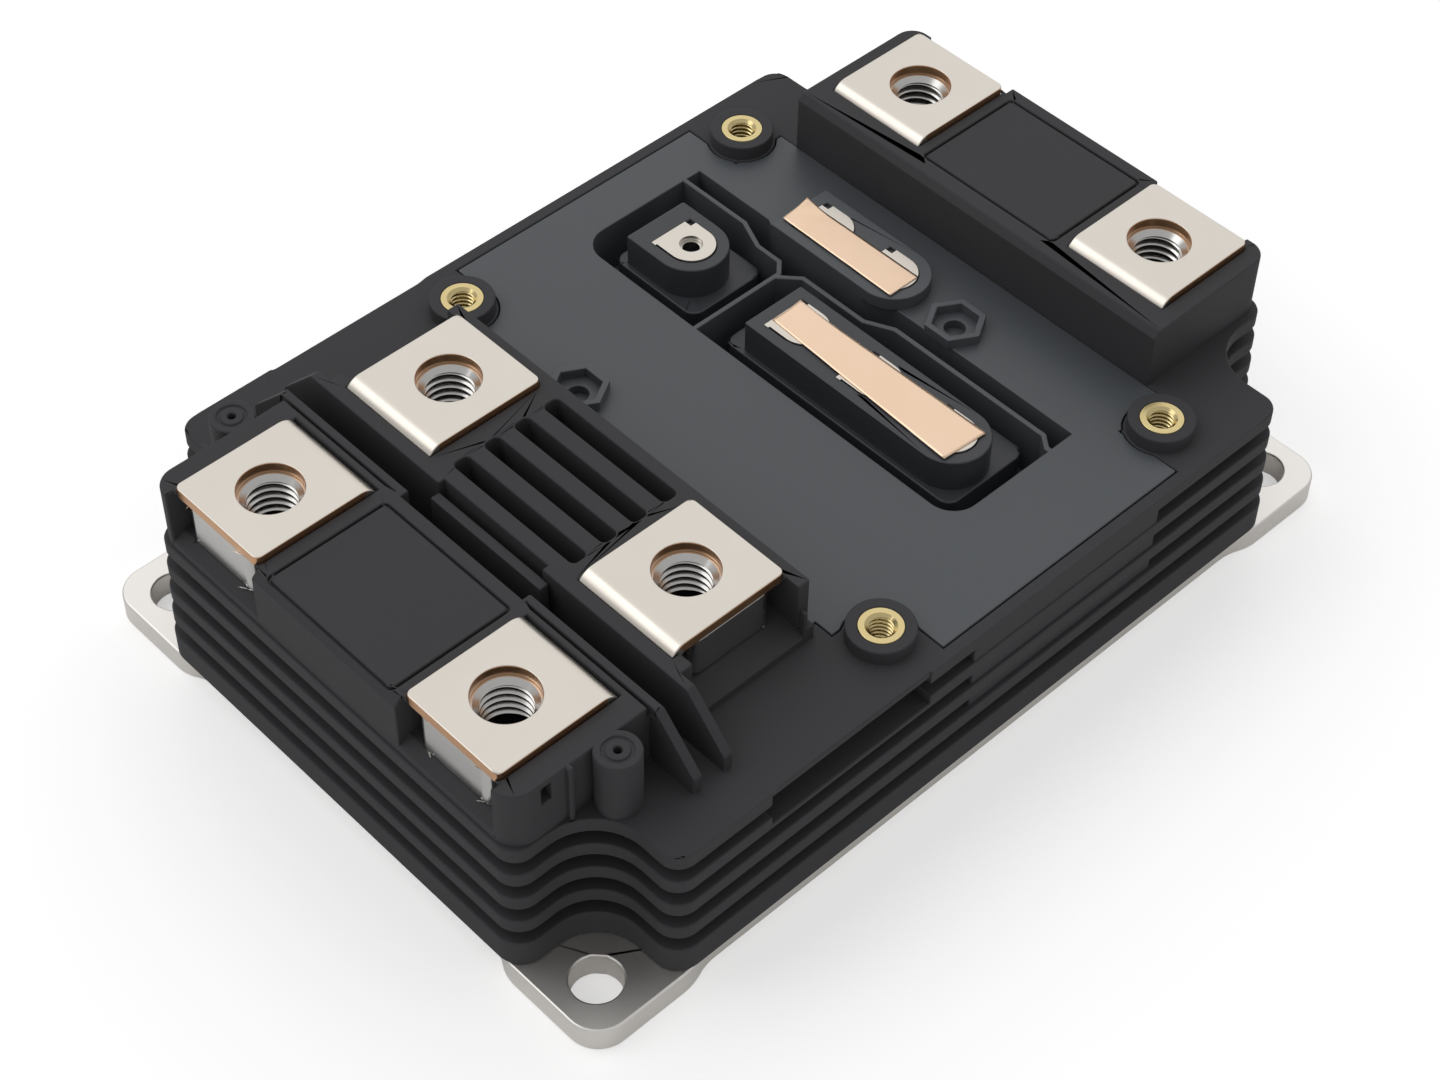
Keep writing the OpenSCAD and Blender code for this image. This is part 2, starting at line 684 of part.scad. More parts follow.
module case_holes() {
    // first and third pairs
    both_x() translate([tx, term1_y, 0])
        nut_pocket(term_front, pocket_x0 - tx, pocket_x1 - tx, -dc1_y0 + term1_y + e);
    both_x() translate([tx, term3_y, 0]) mirror([0, 1, 0])
        nut_pocket(term_front + 0.2, pocket_x0 - tx, ac_half - 4 - tx, ac_y1 - term3_y + e);
    // second pair opens sideways
    both_x() translate([tx, term2_y, 0]) rotate(90)
        nut_pocket(term_w / 2 + term_shift, dc2_side_pocket0, dc2_side_pocket1, dc2_half - tx + e);
}

module case() color(c_case) difference() {
    union() {
        difference() {
            ribbed_wall();
            side_recess();
        }
        difference() {
            union() { dc1_block(); dc2_block(); ac_block(); both_x() { fin(slot_y0 - fin_t); fin(slot_y1); } }
            edge_bevel(mid_x0 - 3, pocket_x0, dc1_y0, 1);
            edge_bevel(-dc1_half, dc1_half, ac_y0, 1);
        }
        slab(deck_z - 1, block_z - mid_rib_drop)
            rect(mid_x0 + 1.8, slot_y1 - 1.7, mid_x1 - 0.5, slot_y1 - 1.7 + mid_rib_t);
        main_bosses();
    }
    // inner cavity
    slab(base_t - e, cavity_z) outline(wall_t);
    // cover seat and opening
    slab(cover_z, deck_z + e) cover_outline(cover_gap);
    slab(cavity_z - e, deck_z) cover_outline(-cover_ledge);
    // bead channel
    slab(base_t - e, base_t + seal_h) difference() { outline(seal_in); outline(seal_in + seal_w); }
    // inserts
    for (y = [insert_y0, insert_y1]) both_x()
        translate([insert_x, y, deck_z + insert_boss_h - insert_l - 0.3])
            cylinder(d = insert_d, h = insert_l + 1);
    case_holes();
    // main terminals and their legs
    tabs(0.05);
    // open top over the bends of the front pair
    both_x() translate([tx + term_shift, term1_y, 0])
        box([-term_w / 2 - 0.05, term1_back - bend_r, term_z - bend_r], [term_w / 2 + 0.05, term1_back + 0.05, term_z + 1]);
    // slits
    for (i = [0:slit_n - 1]) slab(block_z - slit_depth, block_z + e)
        rrect(slit_x0, slit_y - i * slit_pitch - slit_w / 2, slit_x1, slit_y - i * slit_pitch + slit_w / 2, 0.8);
    // seams of the middle panels
    seam(mid_x0 - 0.5, dc1_y0 + 0.8, mid_x1 + 0.4, dc1_y1 - 2, block_z);
    seam(mid_x0 - 1, ac_y0 + 3.4, mid_x1 + 0.4, ac_y1 - 1.9, block_z);
    // shallow groove in front of the lips
    slab(block_z - lip_groove, block_z + e) both_x()
        rect(mid_x1 + 0.6, dc1_y1 - 0.35, dc1_half + 1, dc1_y1 + 0.05);
    // posts
    both_x() translate([post_x, post_y, block_z - 2]) {
        cylinder(d = post_hole_d, h = 3);
        translate([0, 0, 2 - 0.25]) difference() { cylinder(r = 2, h = 1); translate([0, 0, -1]) cylinder(r = 1.6, h = 3); }
    }
    // lip slot in the pillar of the first block
    both_x() box([pocket_x1 + 2, dc1_y0 + 4.8, block_z - 4], [dc1_half + 1, dc1_y0 + 6.3, block_z - 1]);
}
module base_seal() color([0.55, 0.55, 0.56])
    slab(base_t, base_t + seal_h) difference() { outline(seal_in); outline(seal_in + seal_w); }

// ---------- top cover ----------
module cover_outline(c) {
    fx = cover_front + c;
    difference() {
        union() {
            rect(-cover_half - c, cover_y0 - c, cover_half + c, cover_y1 + c);
            rect(-cover_tongue - c, cover_y1 - 1, cover_tongue + c, ac_y0 + min(c, 0));
            polygon([[-cover_half + 4.9 - c, cover_y0], [-fx, cover_y0 - 6.5], [-fx, dc2_y1 + 1.8 - c],
                [-fx + 3, dc2_y1 + 1.8 - c], [-fx + 3, dc2_y1 - min(c, 0)], [fx - 3, dc2_y1 - min(c, 0)],
                [fx - 3, dc2_y1 + 1.8 - c], [fx, dc2_y1 + 1.8 - c], [fx, cover_y0 - 6.5],
                [cover_half - 4.9 + c, cover_y0]]);
        }
        for (y = [insert_y0, insert_y1]) both_x()
            translate([insert_x, y]) circle(insert_boss_d / 2 + boss_gap - c);
    }
}
module well_outline(t) {
    x0 = well_x0 - t; x1 = well_x1 + t;
    rrect(x0, well_y0 - t, x1, well_y1 - well_jog - 1, 4 + t);
    polygon([[x0, well_y0 + 6], [x0, well_y1 + t], [jog0 + t, well_y1 + t], [jog0 + jog_run + t, well_y1 - well_jog + t],
        [jog1 - jog_run - t, well_y1 - well_jog + t], [jog1 - t, well_y1 + t], [x1, well_y1 + t], [x1, well_y0 + 6]]);
}
module baffles() {
    path([[well_x0 - 0.4, baffle_y1], [jog0 - 1.9, baffle_y1], [jog0 + jog_run - 1, baffle_y0], [baffle_x - 1.8, baffle_y0],
        [baffle_x, baffle_y0 - 1.8], [baffle_x, well_y0 - 0.4]], baffle_t);
    path([[baffle_x, baffle_y0 - 2.8], [baffle_x + 3, baffle_y0], [jog1 - jog_run + 3.3, baffle_y0],
        [jog1 + 3.5, baffle_y1], [well_x1 - 2.4, baffle_y1], [well_x1 - 0.5, baffle_y1 - 1.5], [well_x1 + 0.4, baffle_y1 - 1.5]], baffle_t);
}
module plateau_outline(g) {
    r = plat_r + g;
    rrect(plat1_x0 - g, plat_y0 - g, plat1_x1 + g, plat_y1 + g, r);
    rrect(plat1_x0 - g, plat_y0 - g, jog0 - 2.8 + g, baffle_y1 - baffle_t - 1 + g, r);
    rrect(plat3_x0 - g, plat_y0 - g, plat3_x1 + g, plat_y1 + g, r);
    rrect(jog1 + 5.1 - g, plat_y0 - g, plat3_x1 + g, baffle_y1 - baffle_t - 1 + g, r);
}
module hex_boss(x, y) translate([x, y, 0]) {
    difference() {
        slab(deck_z - 0.5, deck_z + hex_h) circle(d = hex_d, $fn = 6);
        slab(deck_z, deck_z + hex_h + 1) circle(d = hex_pocket_d, $fn = 6);
    }
}
module top_cover() color(c_cover) difference() {
    union() {
        slab(cover_z, deck_z) cover_outline(0);
        slab(well_floor - well_t, deck_z) well_outline(well_t);
        slab(deck_z - 1, island_top) tongue(island2_x0, island2_x1, island2_y, island_r);
        slab(cover_z - 2.4, deck_z) tongue(island2_x0, island2_x1, island2_y, island_r);
        hex_boss(hex_x, hex_y);
        hex_boss(hex2_x, hex2_y);
    }
    slab(well_floor, deck_z + e) difference() { well_outline(0); baffles(); }
    slab(well_floor - well_t - 1, well_floor + 1) plateau_outline(holder_gap);
    for (p = aux2) aux_seat(p, lead2_y);
    translate([hex_x, hex_y, deck_z - 1.4]) cylinder(d = 3, h = 3);
    translate([hex2_x, hex2_y, deck_z - 1.4]) cylinder(d = 3, h = 3);
}

// ---------- control terminal holder ----------
module terminal_holder() color([0.27, 0.28, 0.30]) difference() {
    union() {
        slab(beam_z, beam_z + beam_t) rect(-half_w + wall_t, plat_y0 - 2, half_w - wall_t, baffle_y1);
        slab(beam_z + beam_t - e, plateau_z) plateau_outline(0);
        slab(plateau_z - 1, island_top) tongue(island1_x0, island1_x1, island1_y, island_r);
        slab(plateau_z - 1, island_top) tongue(island3_x0, island3_x1, island1_y, island_r);
    }
    for (p = aux1) aux_seat(p, lead_y);
    for (p = aux3) aux_seat(p, lead_y);
}

// ---------- control terminals ----------
module aux_plate(c) {
    tongue(-aux_l - c, 0, 0, aux_w / 2 + c);
}
// cut for one control terminal: sheet, nut, screw relief and lead
module aux_seat(p, ly) translate([p[0], p[1], 0]) {
    slab(aux_z, island_top + 1) aux_plate(0.05);
    slab(aux_nut_z, aux_z + e) circle(d = (aux_nut_af + 0.1) / cos(30), $fn = 6);
    translate([0, 0, aux_nut_z - 1.2]) cylinder(d = aux_hole_d, h = 2);
    slab(0, aux_z + e) aux_lead(p, ly, 0.05);
}
module aux_lead(p, ly, c) {
    rect(-aux_l - c, ly - p[1] - lead_w / 2 - c, -aux_l + aux_t + c, ly - p[1] + lead_w / 2 + c);
}
module aux_terminal(p, ly) translate([p[0], p[1], 0]) difference() {
    union() {
        slab(aux_z, aux_top) aux_plate(0);
        slab(track_top, aux_top) aux_lead(p, ly, 0);
    }
    translate([0, 0, aux_z - 1]) cylinder(d = aux_hole_d, h = 3);
    slab(aux_z - 1, aux_top + 1) {
        rect(-aux_l - 1, aux_w / 2 - 1, -aux_l + 1.2, aux_w / 2 + 1);
        rect(-aux_l - 1, -aux_w / 2 - 1, -aux_l + aux_t + 0.4, ly - p[1] - lead_w / 2 - 0.2);
    }
}
module aux_terminals() color(c_nickel) {
    for (p = aux1) aux_terminal(p, lead_y);
    for (p = aux2) aux_terminal(p, lead2_y);
    for (p = aux3) aux_terminal(p, lead_y);
}
module aux_nuts() color([0.8, 0.8, 0.82])
    for (p = concat(aux1, aux2, aux3)) translate([p[0], p[1], 0])
        slab(aux_nut_z, aux_z) difference() {
            circle(d = aux_nut_af / cos(30), $fn = 6);
            circle(d = aux_nut_bore_d);
        }
module foil(pts) slab(aux_top, aux_top + foil_t) polygon(pts);
module foil_short() color(c_copper)
    foil([[island2_x0 + foil_in, island2_y - foil_w / 2 - 0.8], [island2_x0 + foil_in - 0.5, island2_y + foil_w / 2 - 1.2],
        [island2_x1 + foil_out, island2_y + foil_w / 2 - 1.1], [island2_x1 + foil_out, island2_y - foil_w / 2 - 1.1]]);
module foil_long() color(c_copper)
    foil([[island3_x0 + foil3_in, island1_y - foil_w / 2 + 0.4], [island3_x0 + foil3_in, island1_y + foil_w / 2 + 0.1],
        [island3_x1 + foil_out, island1_y + foil_w / 2 + 0.5], [island3_x1 + foil_out - 0.5, island1_y - foil_w / 2 - 1.5]]);

// ---------- inserts ----------
module control_inserts() color([0.84, 0.78, 0.5])
    for (y = [insert_y0, insert_y1]) both_x()
        translate([insert_x, y, deck_z + insert_boss_h - insert_l]) difference() {
            cylinder(d = insert_d, h = insert_l);
            translate([0, 0, 0.8]) cylinder(d = insert_bore_d, h = insert_l);
        }

// ---------- main terminals ----------
// sheet with a bend at its far end and a leg down to z_low, terminal hole at the origin, leg towards +Y
module bent_tab(front, back, z_low, c) {
    w = term_w / 2;
    translate([term_shift, 0, 0]) {
        slab(sheet_z - c, term_z + (c > 0 ? 1 : 0)) {
            rect(-w - c, -front + term_r, w + c, back - bend_r);
            rect(-w + term_r, -front - c, w - term_r, back - bend_r);
            for (s = [-1, 1]) translate([s * (w - term_r), -front + term_r]) circle(term_r + c);
        }
        // bend
        translate([0, back - bend_r, term_z - bend_r]) rotate([90, 0, 90]) translate([0, 0, -w - c])
            intersection() {
                linear_extrude(height = term_w + 2 * c) difference() {
                    circle(bend_r + c);
                    circle(bend_r - bar_t - c);
                }
                translate([0, 0, -1]) cube([2 * bend_r, 2 * bend_r, term_w + 2 * c + 2]);
            }
        box([-w - c, back - bar_t - c, z_low], [w + c, back + c, term_z - bend_r]);
    }
}
module tab_hole() { translate([0, 0, sheet_z - 1]) cylinder(d = term_hole_d, h = bar_t + 2); }
module tabs(c) {
    both_x() {
        translate([tx, term1_y, 0]) bent_tab(term_front, term1_back, cavity_z - 1, c);
        translate([tx, term2_y, 0]) mirror([0, 1, 0]) bent_tab(term2_back, term2_front, cavity_z - 1, c);
        translate([tx, term3_y, 0]) mirror([0, 1, 0]) bent_tab(term_front, term_back, cavity_z - 1, c);
    }
}
// vertical sheet in the cavity that joins a pair and stands on the substrates
module bus_sheet(y, z0, z1, s) {
    x1 = tx + term_w / 2;
    box([-x1, y, z0], [x1, y + bar_t, z1]);
    both_x() {
        box([sub_pitch_x / 2 - foot_w / 2, y, track_top], [sub_pitch_x / 2 + foot_w / 2, y + bar_t, z0 + 1]);
        box([sub_pitch_x / 2 - foot_w / 2, min(y, y + s * 4.2) + (s > 0 ? 0 : bar_t), track_top],
            [sub_pitch_x / 2 + foot_w / 2, max(y, y + s * 4.2) + bar_t, track_top + foot_t]);
    }
}
module busbar_pair(y, front, back, flip, z0, s) color(c_nickel) difference() {
    union() {
        both_x() translate([tx, y, 0]) mirror([0, flip, 0]) bent_tab(front, back, z0, 0);
        bus_sheet(flip == 1 ? y - back : y + back - bar_t, z0, z0 + 4, s);
    }
    both_x() translate([tx, y, 0]) tab_hole();
}
module dc_front_busbar() busbar_pair(term1_y, term_front, term1_back, 0, bar1_z, 1);
module dc_rear_busbar() busbar_pair(term2_y, term2_back, term2_front, 1, bar2_z, 1);
module ac_busbar() busbar_pair(term3_y, term_front, term_back, 1, bar1_z, -1);

module main_nuts() color([0.78, 0.78, 0.8]) both_x() {
    translate([tx, term1_y, 0]) nut_at(term_front);
    translate([tx, term2_y, 0]) rotate(90) nut_at(term_w / 2 + term_shift);
    translate([tx, term3_y, 0]) mirror([0, 1, 0]) nut_at(term_front + 0.2);
}
module nut_at(front) slab(nut_z, sheet_z) difference() {
    rrect(-nut_w / 2, -front + 0.2, nut_w / 2, -front + 0.2 + nut_l, nut_r);
    circle(d = nut_bore_d);
}

// ---------- power circuit ----------
module at_substrates() { for (y = row_y) both_x() translate([sub_pitch_x / 2, y, 0]) children(); }
module sub_slab(z, t, b) slab(z, z + t) rect(-sub_w / 2 + b, -sub_l / 2 + b, sub_w / 2 - b, sub_l / 2 - b);
module substrate_solder() color([0.7, 0.7, 0.7]) at_substrates() sub_slab(base_t, solder_t, cer_border);
module substrate_back_copper() color(c_copper) at_substrates() sub_slab(sub_z, cu_t, cer_border);
module substrate_ceramics() color([0.93, 0.93, 0.9]) at_substrates() sub_slab(cer_z, cer_t, 0);
module substrate_tracks() color(c_copper) at_substrates() slab(track_z, track_top) {
    ex = sub_w / 2 - cer_border;
    ey = sub_l / 2 - cer_border;
    ix = mid_col + track_gap;
    both_x() {
        rect(ix, -ey, ex, gate_y - gate_w / 2 - track_gap);
        rect(ix, gate_y - gate_w / 2, ex, gate_y + gate_w / 2);
        rect(ix, gate_y + gate_w / 2 + track_gap, ex, aux_strip_y - track_gap);
        rect(ix, aux_strip_y, ex, ey);
    }
    rect(-mid_col, -ey, mid_col, gate_y - 3.2);
    rect(-mid_col, gate_y - 2.6, mid_col, ey);
}
module at_igbts() at_substrates() both_x() translate([chip_x, igbt_y, 0]) children();
module at_diodes() at_substrates() both_x() translate([chip_x, diode_y, 0]) children();
module chip_solder() color([0.7, 0.7, 0.7]) {
    at_igbts() slab(track_top, chip_z) rect(-igbt_w / 2, -igbt_l / 2, igbt_w / 2, igbt_l / 2);
    at_diodes() slab(track_top, chip_z) rect(-diode_w / 2, -diode_l / 2, diode_w / 2, diode_l / 2);
}
module igbt_chips() color([0.35, 0.37, 0.42])
    at_igbts() slab(chip_z, chip_top) rect(-igbt_w / 2, -igbt_l / 2, igbt_w / 2, igbt_l / 2);
module diode_chips() color([0.45, 0.46, 0.5])
    at_diodes() slab(chip_z, chip_top) rect(-diode_w / 2, -diode_l / 2, diode_w / 2, diode_l / 2);
module thermistor() color([0.3, 0.3, 0.32])
    translate([-sub_pitch_x / 2 + chip_x + 3, aux_strip_y + 1.8, track_top]) translate([-1.6, -0.8, 0]) cube([3.2, 1.6, 0.9]);

// arched wire along +X: foot at x = 0 on a chip, foot at x = span on a track
module wire(span, drop) {
    r = span / 2;
    translate([r, 0, 0]) rotate([90, 0, 0]) rotate_extrude(angle = 180) translate([r, 0]) circle(d = wire_d, $fn = 24);
    if (drop > 0) translate([span, 0, -drop]) cylinder(d = wire_d, h = drop, $fn = 24);
}
module bond_wires() color([0.85, 0.85, 0.87]) at_substrates() both_x() {
    d = chip_top - track_top;
    xi = chip_x - igbt_w / 2 + 0.8;
    xd = chip_x - diode_w / 2 + 0.8;
    for (y = [-1, 1]) translate([xi, igbt_y + 1.6 + y * 2, chip_top]) rotate(180) wire(xi - mid_col + 0.8, d);
    translate([xd, diode_y - 1.2, chip_top]) rotate(180) wire(xd - mid_col + 0.8, d);
    translate([chip_x, igbt_y - igbt_l / 2 + 0.8, chip_top]) rotate(-90) wire(2.6, d);
}
module link_wires() color([0.85, 0.85, 0.87])
    for (y = [row_y[0], row_y[1]]) both_x() for (x = [-2, 2])
        translate([sub_pitch_x / 2 + x, y + sub_l / 2 - cer_border - 0.8, track_top])
            rotate(90) wire(sub_pitch_y - sub_l + 2 * cer_border + 1.6, 0);

module gel_fill() color([0.8, 0.82, 0.84, 0.5]) difference() {
    slab(gel_z, gel_z + gel_h) outline(wall_t);
    for (p = concat(aux1, aux3)) translate([p[0], p[1], 0]) slab(0, term_z) aux_lead(p, lead_y, 0.05);
    for (p = aux2) translate([p[0], p[1], 0]) slab(0, term_z) aux_lead(p, lead2_y, 0.05);
    for (y = [leg1_y, leg2_y, leg3_y]) both_x()
        box([sub_pitch_x / 2 - foot_w / 2 - 0.05, y - 0.05, 0], [sub_pitch_x / 2 + foot_w / 2 + 0.05, y + bar_t + 0.05, term_z]);
}

base_plate();
base_seal();
case();
top_cover();
terminal_holder();
dc_front_busbar();
dc_rear_busbar();
ac_busbar();
main_nuts();
control_inserts();
aux_terminals();
aux_nuts();
foil_short();
foil_long();
substrate_solder();
substrate_back_copper();
substrate_ceramics();
substrate_tracks();
chip_solder();
igbt_chips();
diode_chips();
thermistor();
bond_wires();
link_wires();
gel_fill();
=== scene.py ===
"""Dresses the six-terminal power module: rounded mouldings, plated terminals, threads, foils, light and camera."""

import json
import logging
import math
from dataclasses import dataclass, field
from enum import Enum
from typing import Optional, Sequence

import bmesh
import bpy
from mathutils import Matrix, Vector, noise

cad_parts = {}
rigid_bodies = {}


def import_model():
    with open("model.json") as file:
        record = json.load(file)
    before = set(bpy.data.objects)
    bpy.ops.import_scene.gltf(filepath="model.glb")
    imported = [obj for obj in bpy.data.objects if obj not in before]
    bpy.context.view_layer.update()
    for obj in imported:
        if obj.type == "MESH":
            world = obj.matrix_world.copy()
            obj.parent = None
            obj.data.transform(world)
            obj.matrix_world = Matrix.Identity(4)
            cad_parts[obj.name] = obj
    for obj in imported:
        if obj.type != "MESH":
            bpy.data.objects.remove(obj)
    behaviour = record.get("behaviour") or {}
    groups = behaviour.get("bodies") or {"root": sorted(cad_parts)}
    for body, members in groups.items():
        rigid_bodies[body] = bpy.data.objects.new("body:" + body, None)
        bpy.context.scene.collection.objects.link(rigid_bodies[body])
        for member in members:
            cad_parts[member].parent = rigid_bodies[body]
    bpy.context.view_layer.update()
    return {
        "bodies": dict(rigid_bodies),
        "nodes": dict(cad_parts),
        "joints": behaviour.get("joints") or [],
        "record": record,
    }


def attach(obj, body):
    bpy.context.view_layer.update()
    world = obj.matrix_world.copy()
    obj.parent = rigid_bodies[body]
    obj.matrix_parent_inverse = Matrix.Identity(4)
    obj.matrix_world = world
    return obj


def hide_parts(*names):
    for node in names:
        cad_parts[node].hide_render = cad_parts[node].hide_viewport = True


LOG = logging.getLogger("module")
MM = 0.001


# ---------------------------------------------------------------- shader maths
class Sock:
    """A socket with Python operators that add Math nodes."""

    def __init__(self, net: "Net", socket: bpy.types.NodeSocket) -> None:
        """Wraps one output socket of a node tree."""
        self.net = net
        self.socket = socket

    def _math(self, operation: str, a: object, b: object) -> "Sock":
        """Adds one Math node and returns its output."""
        return self.net.node("ShaderNodeMath", {"operation": operation}, {0: a, 1: b})

    def __add__(self, other: object) -> "Sock":
        """Sum."""
        return self._math("ADD", self, other)

    def __radd__(self, other: object) -> "Sock":
        """Sum with a number on the left."""
        return self._math("ADD", other, self)

    def __sub__(self, other: object) -> "Sock":
        """Difference."""
        return self._math("SUBTRACT", self, other)

    def __rsub__(self, other: object) -> "Sock":
        """Difference with a number on the left."""
        return self._math("SUBTRACT", other, self)

    def __mul__(self, other: object) -> "Sock":
        """Product."""
        return self._math("MULTIPLY", self, other)

    def __rmul__(self, other: object) -> "Sock":
        """Product with a number on the left."""
        return self._math("MULTIPLY", other, self)

    def __gt__(self, other: object) -> "Sock":
        """1 where this value is above the other."""
        return self._math("GREATER_THAN", self, other)

    def __lt__(self, other: object) -> "Sock":
        """1 where this value is below the other."""
        return self._math("LESS_THAN", self, other)

    def magnitude(self) -> "Sock":
        """Absolute value."""
        return self.net.node("ShaderNodeMath", {"operation": "ABSOLUTE"}, {0: self})


class Net:
    """One material's node tree with a Principled surface."""

    def __init__(self, name: str) -> None:
        """Makes the material and its Principled and output nodes.

        Args:
            name: Name of the new material.
        """
        self.material = bpy.data.materials.new(name)
        self.material.use_nodes = True
        self.tree = self.material.node_tree
        self.tree.nodes.clear()
        self.out = self.tree.nodes.new("ShaderNodeOutputMaterial")
        self.surface = self.tree.nodes.new("ShaderNodeBsdfPrincipled")
        self.tree.links.new(self.surface.outputs["BSDF"], self.out.inputs["Surface"])
        self.place = self.node("ShaderNodeTexCoord", {}, {}, "Object")

    def node(
        self,
        kind: str,
        settings: dict[str, object],
        inputs: dict[object, object],
        output: object = 0,
    ) -> Sock:
        """Adds a node.

        Args:
            kind: Blender's node type.
            settings: Attributes of the node, set first. "stops" sets a ramp's stops.
            inputs: Values or links by socket name or index.
            output: Name or index of the output that is returned.

        Returns:
            The wrapped output socket.
        """
        made = self.tree.nodes.new(kind)
        for key, value in settings.items():
            if key == "stops":
                ramp = made.color_ramp
                while len(ramp.elements) < len(value):
                    ramp.elements.new(0.5)
                for element, (where, colour) in zip(ramp.elements, value):
                    element.position = where
                    element.color = (*colour, 1.0)
            else:
                setattr(made, key, value)
        for key, value in inputs.items():
            self.feed(made.inputs[key], value)
        return Sock(self, made.outputs[output])

    def feed(self, socket: bpy.types.NodeSocket, value: object) -> None:
        """Links a wrapped socket, or sets a constant."""
        if isinstance(value, Sock):
            self.tree.links.new(value.socket, socket)
        elif isinstance(value, tuple) and len(value) == 3 and socket.type == "RGBA":
            socket.default_value = (*value, 1.0)
        else:
            socket.default_value = value

    def noise(self, scale: float, detail: float = 3.0, rough: float = 0.55, stretch: Optional[tuple[float, float, float]] = None) -> Sock:
        """Noise from 0 to 1 in object space.

        Args:
            scale: Features per metre.
            detail: Octaves.
            rough: Strength of the finer octaves.
            stretch: Scale of the three axes, for brushed or drawn marks.

        Returns:
            The noise value.
        """
        place: object = self.place
        if stretch is not None:
            place = self.node("ShaderNodeMapping", {}, {"Vector": self.place, "Scale": stretch})
        return self.node("ShaderNodeTexNoise", {}, {"Vector": place, "Scale": scale, "Detail": detail, "Roughness": rough}, 0)

    def mix(self, factor: object, a: object, b: object) -> Sock:
        """Mixes two colours."""
        return self.node("ShaderNodeMix", {"data_type": "RGBA"}, {0: factor, 6: a, 7: b}, 2)

    def ramp(self, factor: Sock, stops: Sequence[tuple[float, tuple[float, float, float]]]) -> Sock:
        """Colour ramp."""
        return self.node("ShaderNodeValToRGB", {"stops": stops}, {"Fac": factor})

    def bump(self, height: Sock, distance: float, strength: float = 1.0) -> None:
        """Feeds the surface normal from a height.

        Args:
            height: Height from 0 to 1.
            distance: Height of 1 in metres.
            strength: Share of the effect.
        """
        made = self.node("ShaderNodeBump", {}, {"Strength": strength, "Distance": distance, "Height": height})
        self.feed(self.surface.inputs["Normal"], made)

    def set(self, **values: object) -> None:
        """Sets or links sockets of the surface; underscores stand for spaces."""
        for key, value in values.items():
            self.feed(self.surface.inputs[key.replace("_", " ")], value)


# ---------------------------------------------------------------- finishes
@dataclass(frozen=True)
class Moulding:
    """Black glass-filled plastic with a fine eroded grain."""

    name: str
    dark: tuple[float, float, float]
    light: tuple[float, float, float]
    rough: float = 0.42
    grain: float = 0.00002

    def make(self) -> bpy.types.Material:
        """Builds the material."""
        net = Net(self.name)
        cloud = net.noise(60.0, 4.0)
        fine = net.noise(2600.0, 2.0)
        net.set(
            Base_Color=net.mix(cloud, self.dark, self.light),
            Roughness=self.rough - 0.05 + 0.1 * net.noise(240.0, 3.0),
            Specular_IOR_Level=0.5,
        )
        net.bump(fine, self.grain, 0.5)
        return net.material


@dataclass(frozen=True)
class Plating:
    """Plated metal with faint drawn marks and cloudy gloss."""

    name: str
    colour: tuple[float, float, float]
    shade: tuple[float, float, float]
    rough: float = 0.25
    spread: float = 0.12
    marks: tuple[float, float, float] = (1.0, 1.0, 1.0)
    mark_depth: float = 0.000004

    def make(self) -> bpy.types.Material:
        """Builds the material."""
        net = Net(self.name)
        cloud = net.noise(90.0, 5.0)
        streak = net.noise(900.0, 3.0, 0.6, self.marks)
        net.set(
            Base_Color=net.mix(cloud, self.shade, self.colour),
            Metallic=1.0,
            Roughness=self.rough - self.spread / 2 + self.spread * net.noise(160.0, 4.0),
        )
        net.bump(streak, self.mark_depth, 0.6)
        return net.material


@dataclass(frozen=True)
class Plain:
    """Matte ceramic, sealant or silicon with a slight mottle."""

    name: str
    colour: tuple[float, float, float]
    shade: tuple[float, float, float]
    rough: float = 0.6
    scale: float = 300.0

    def make(self) -> bpy.types.Material:
        """Builds the material."""
        net = Net(self.name)
        mottle = net.noise(self.scale, 4.0)
        net.set(Base_Color=net.mix(mottle, self.shade, self.colour), Roughness=self.rough - 0.05 + 0.1 * mottle)
        net.bump(mottle, 0.00002, 0.4)
        return net.material


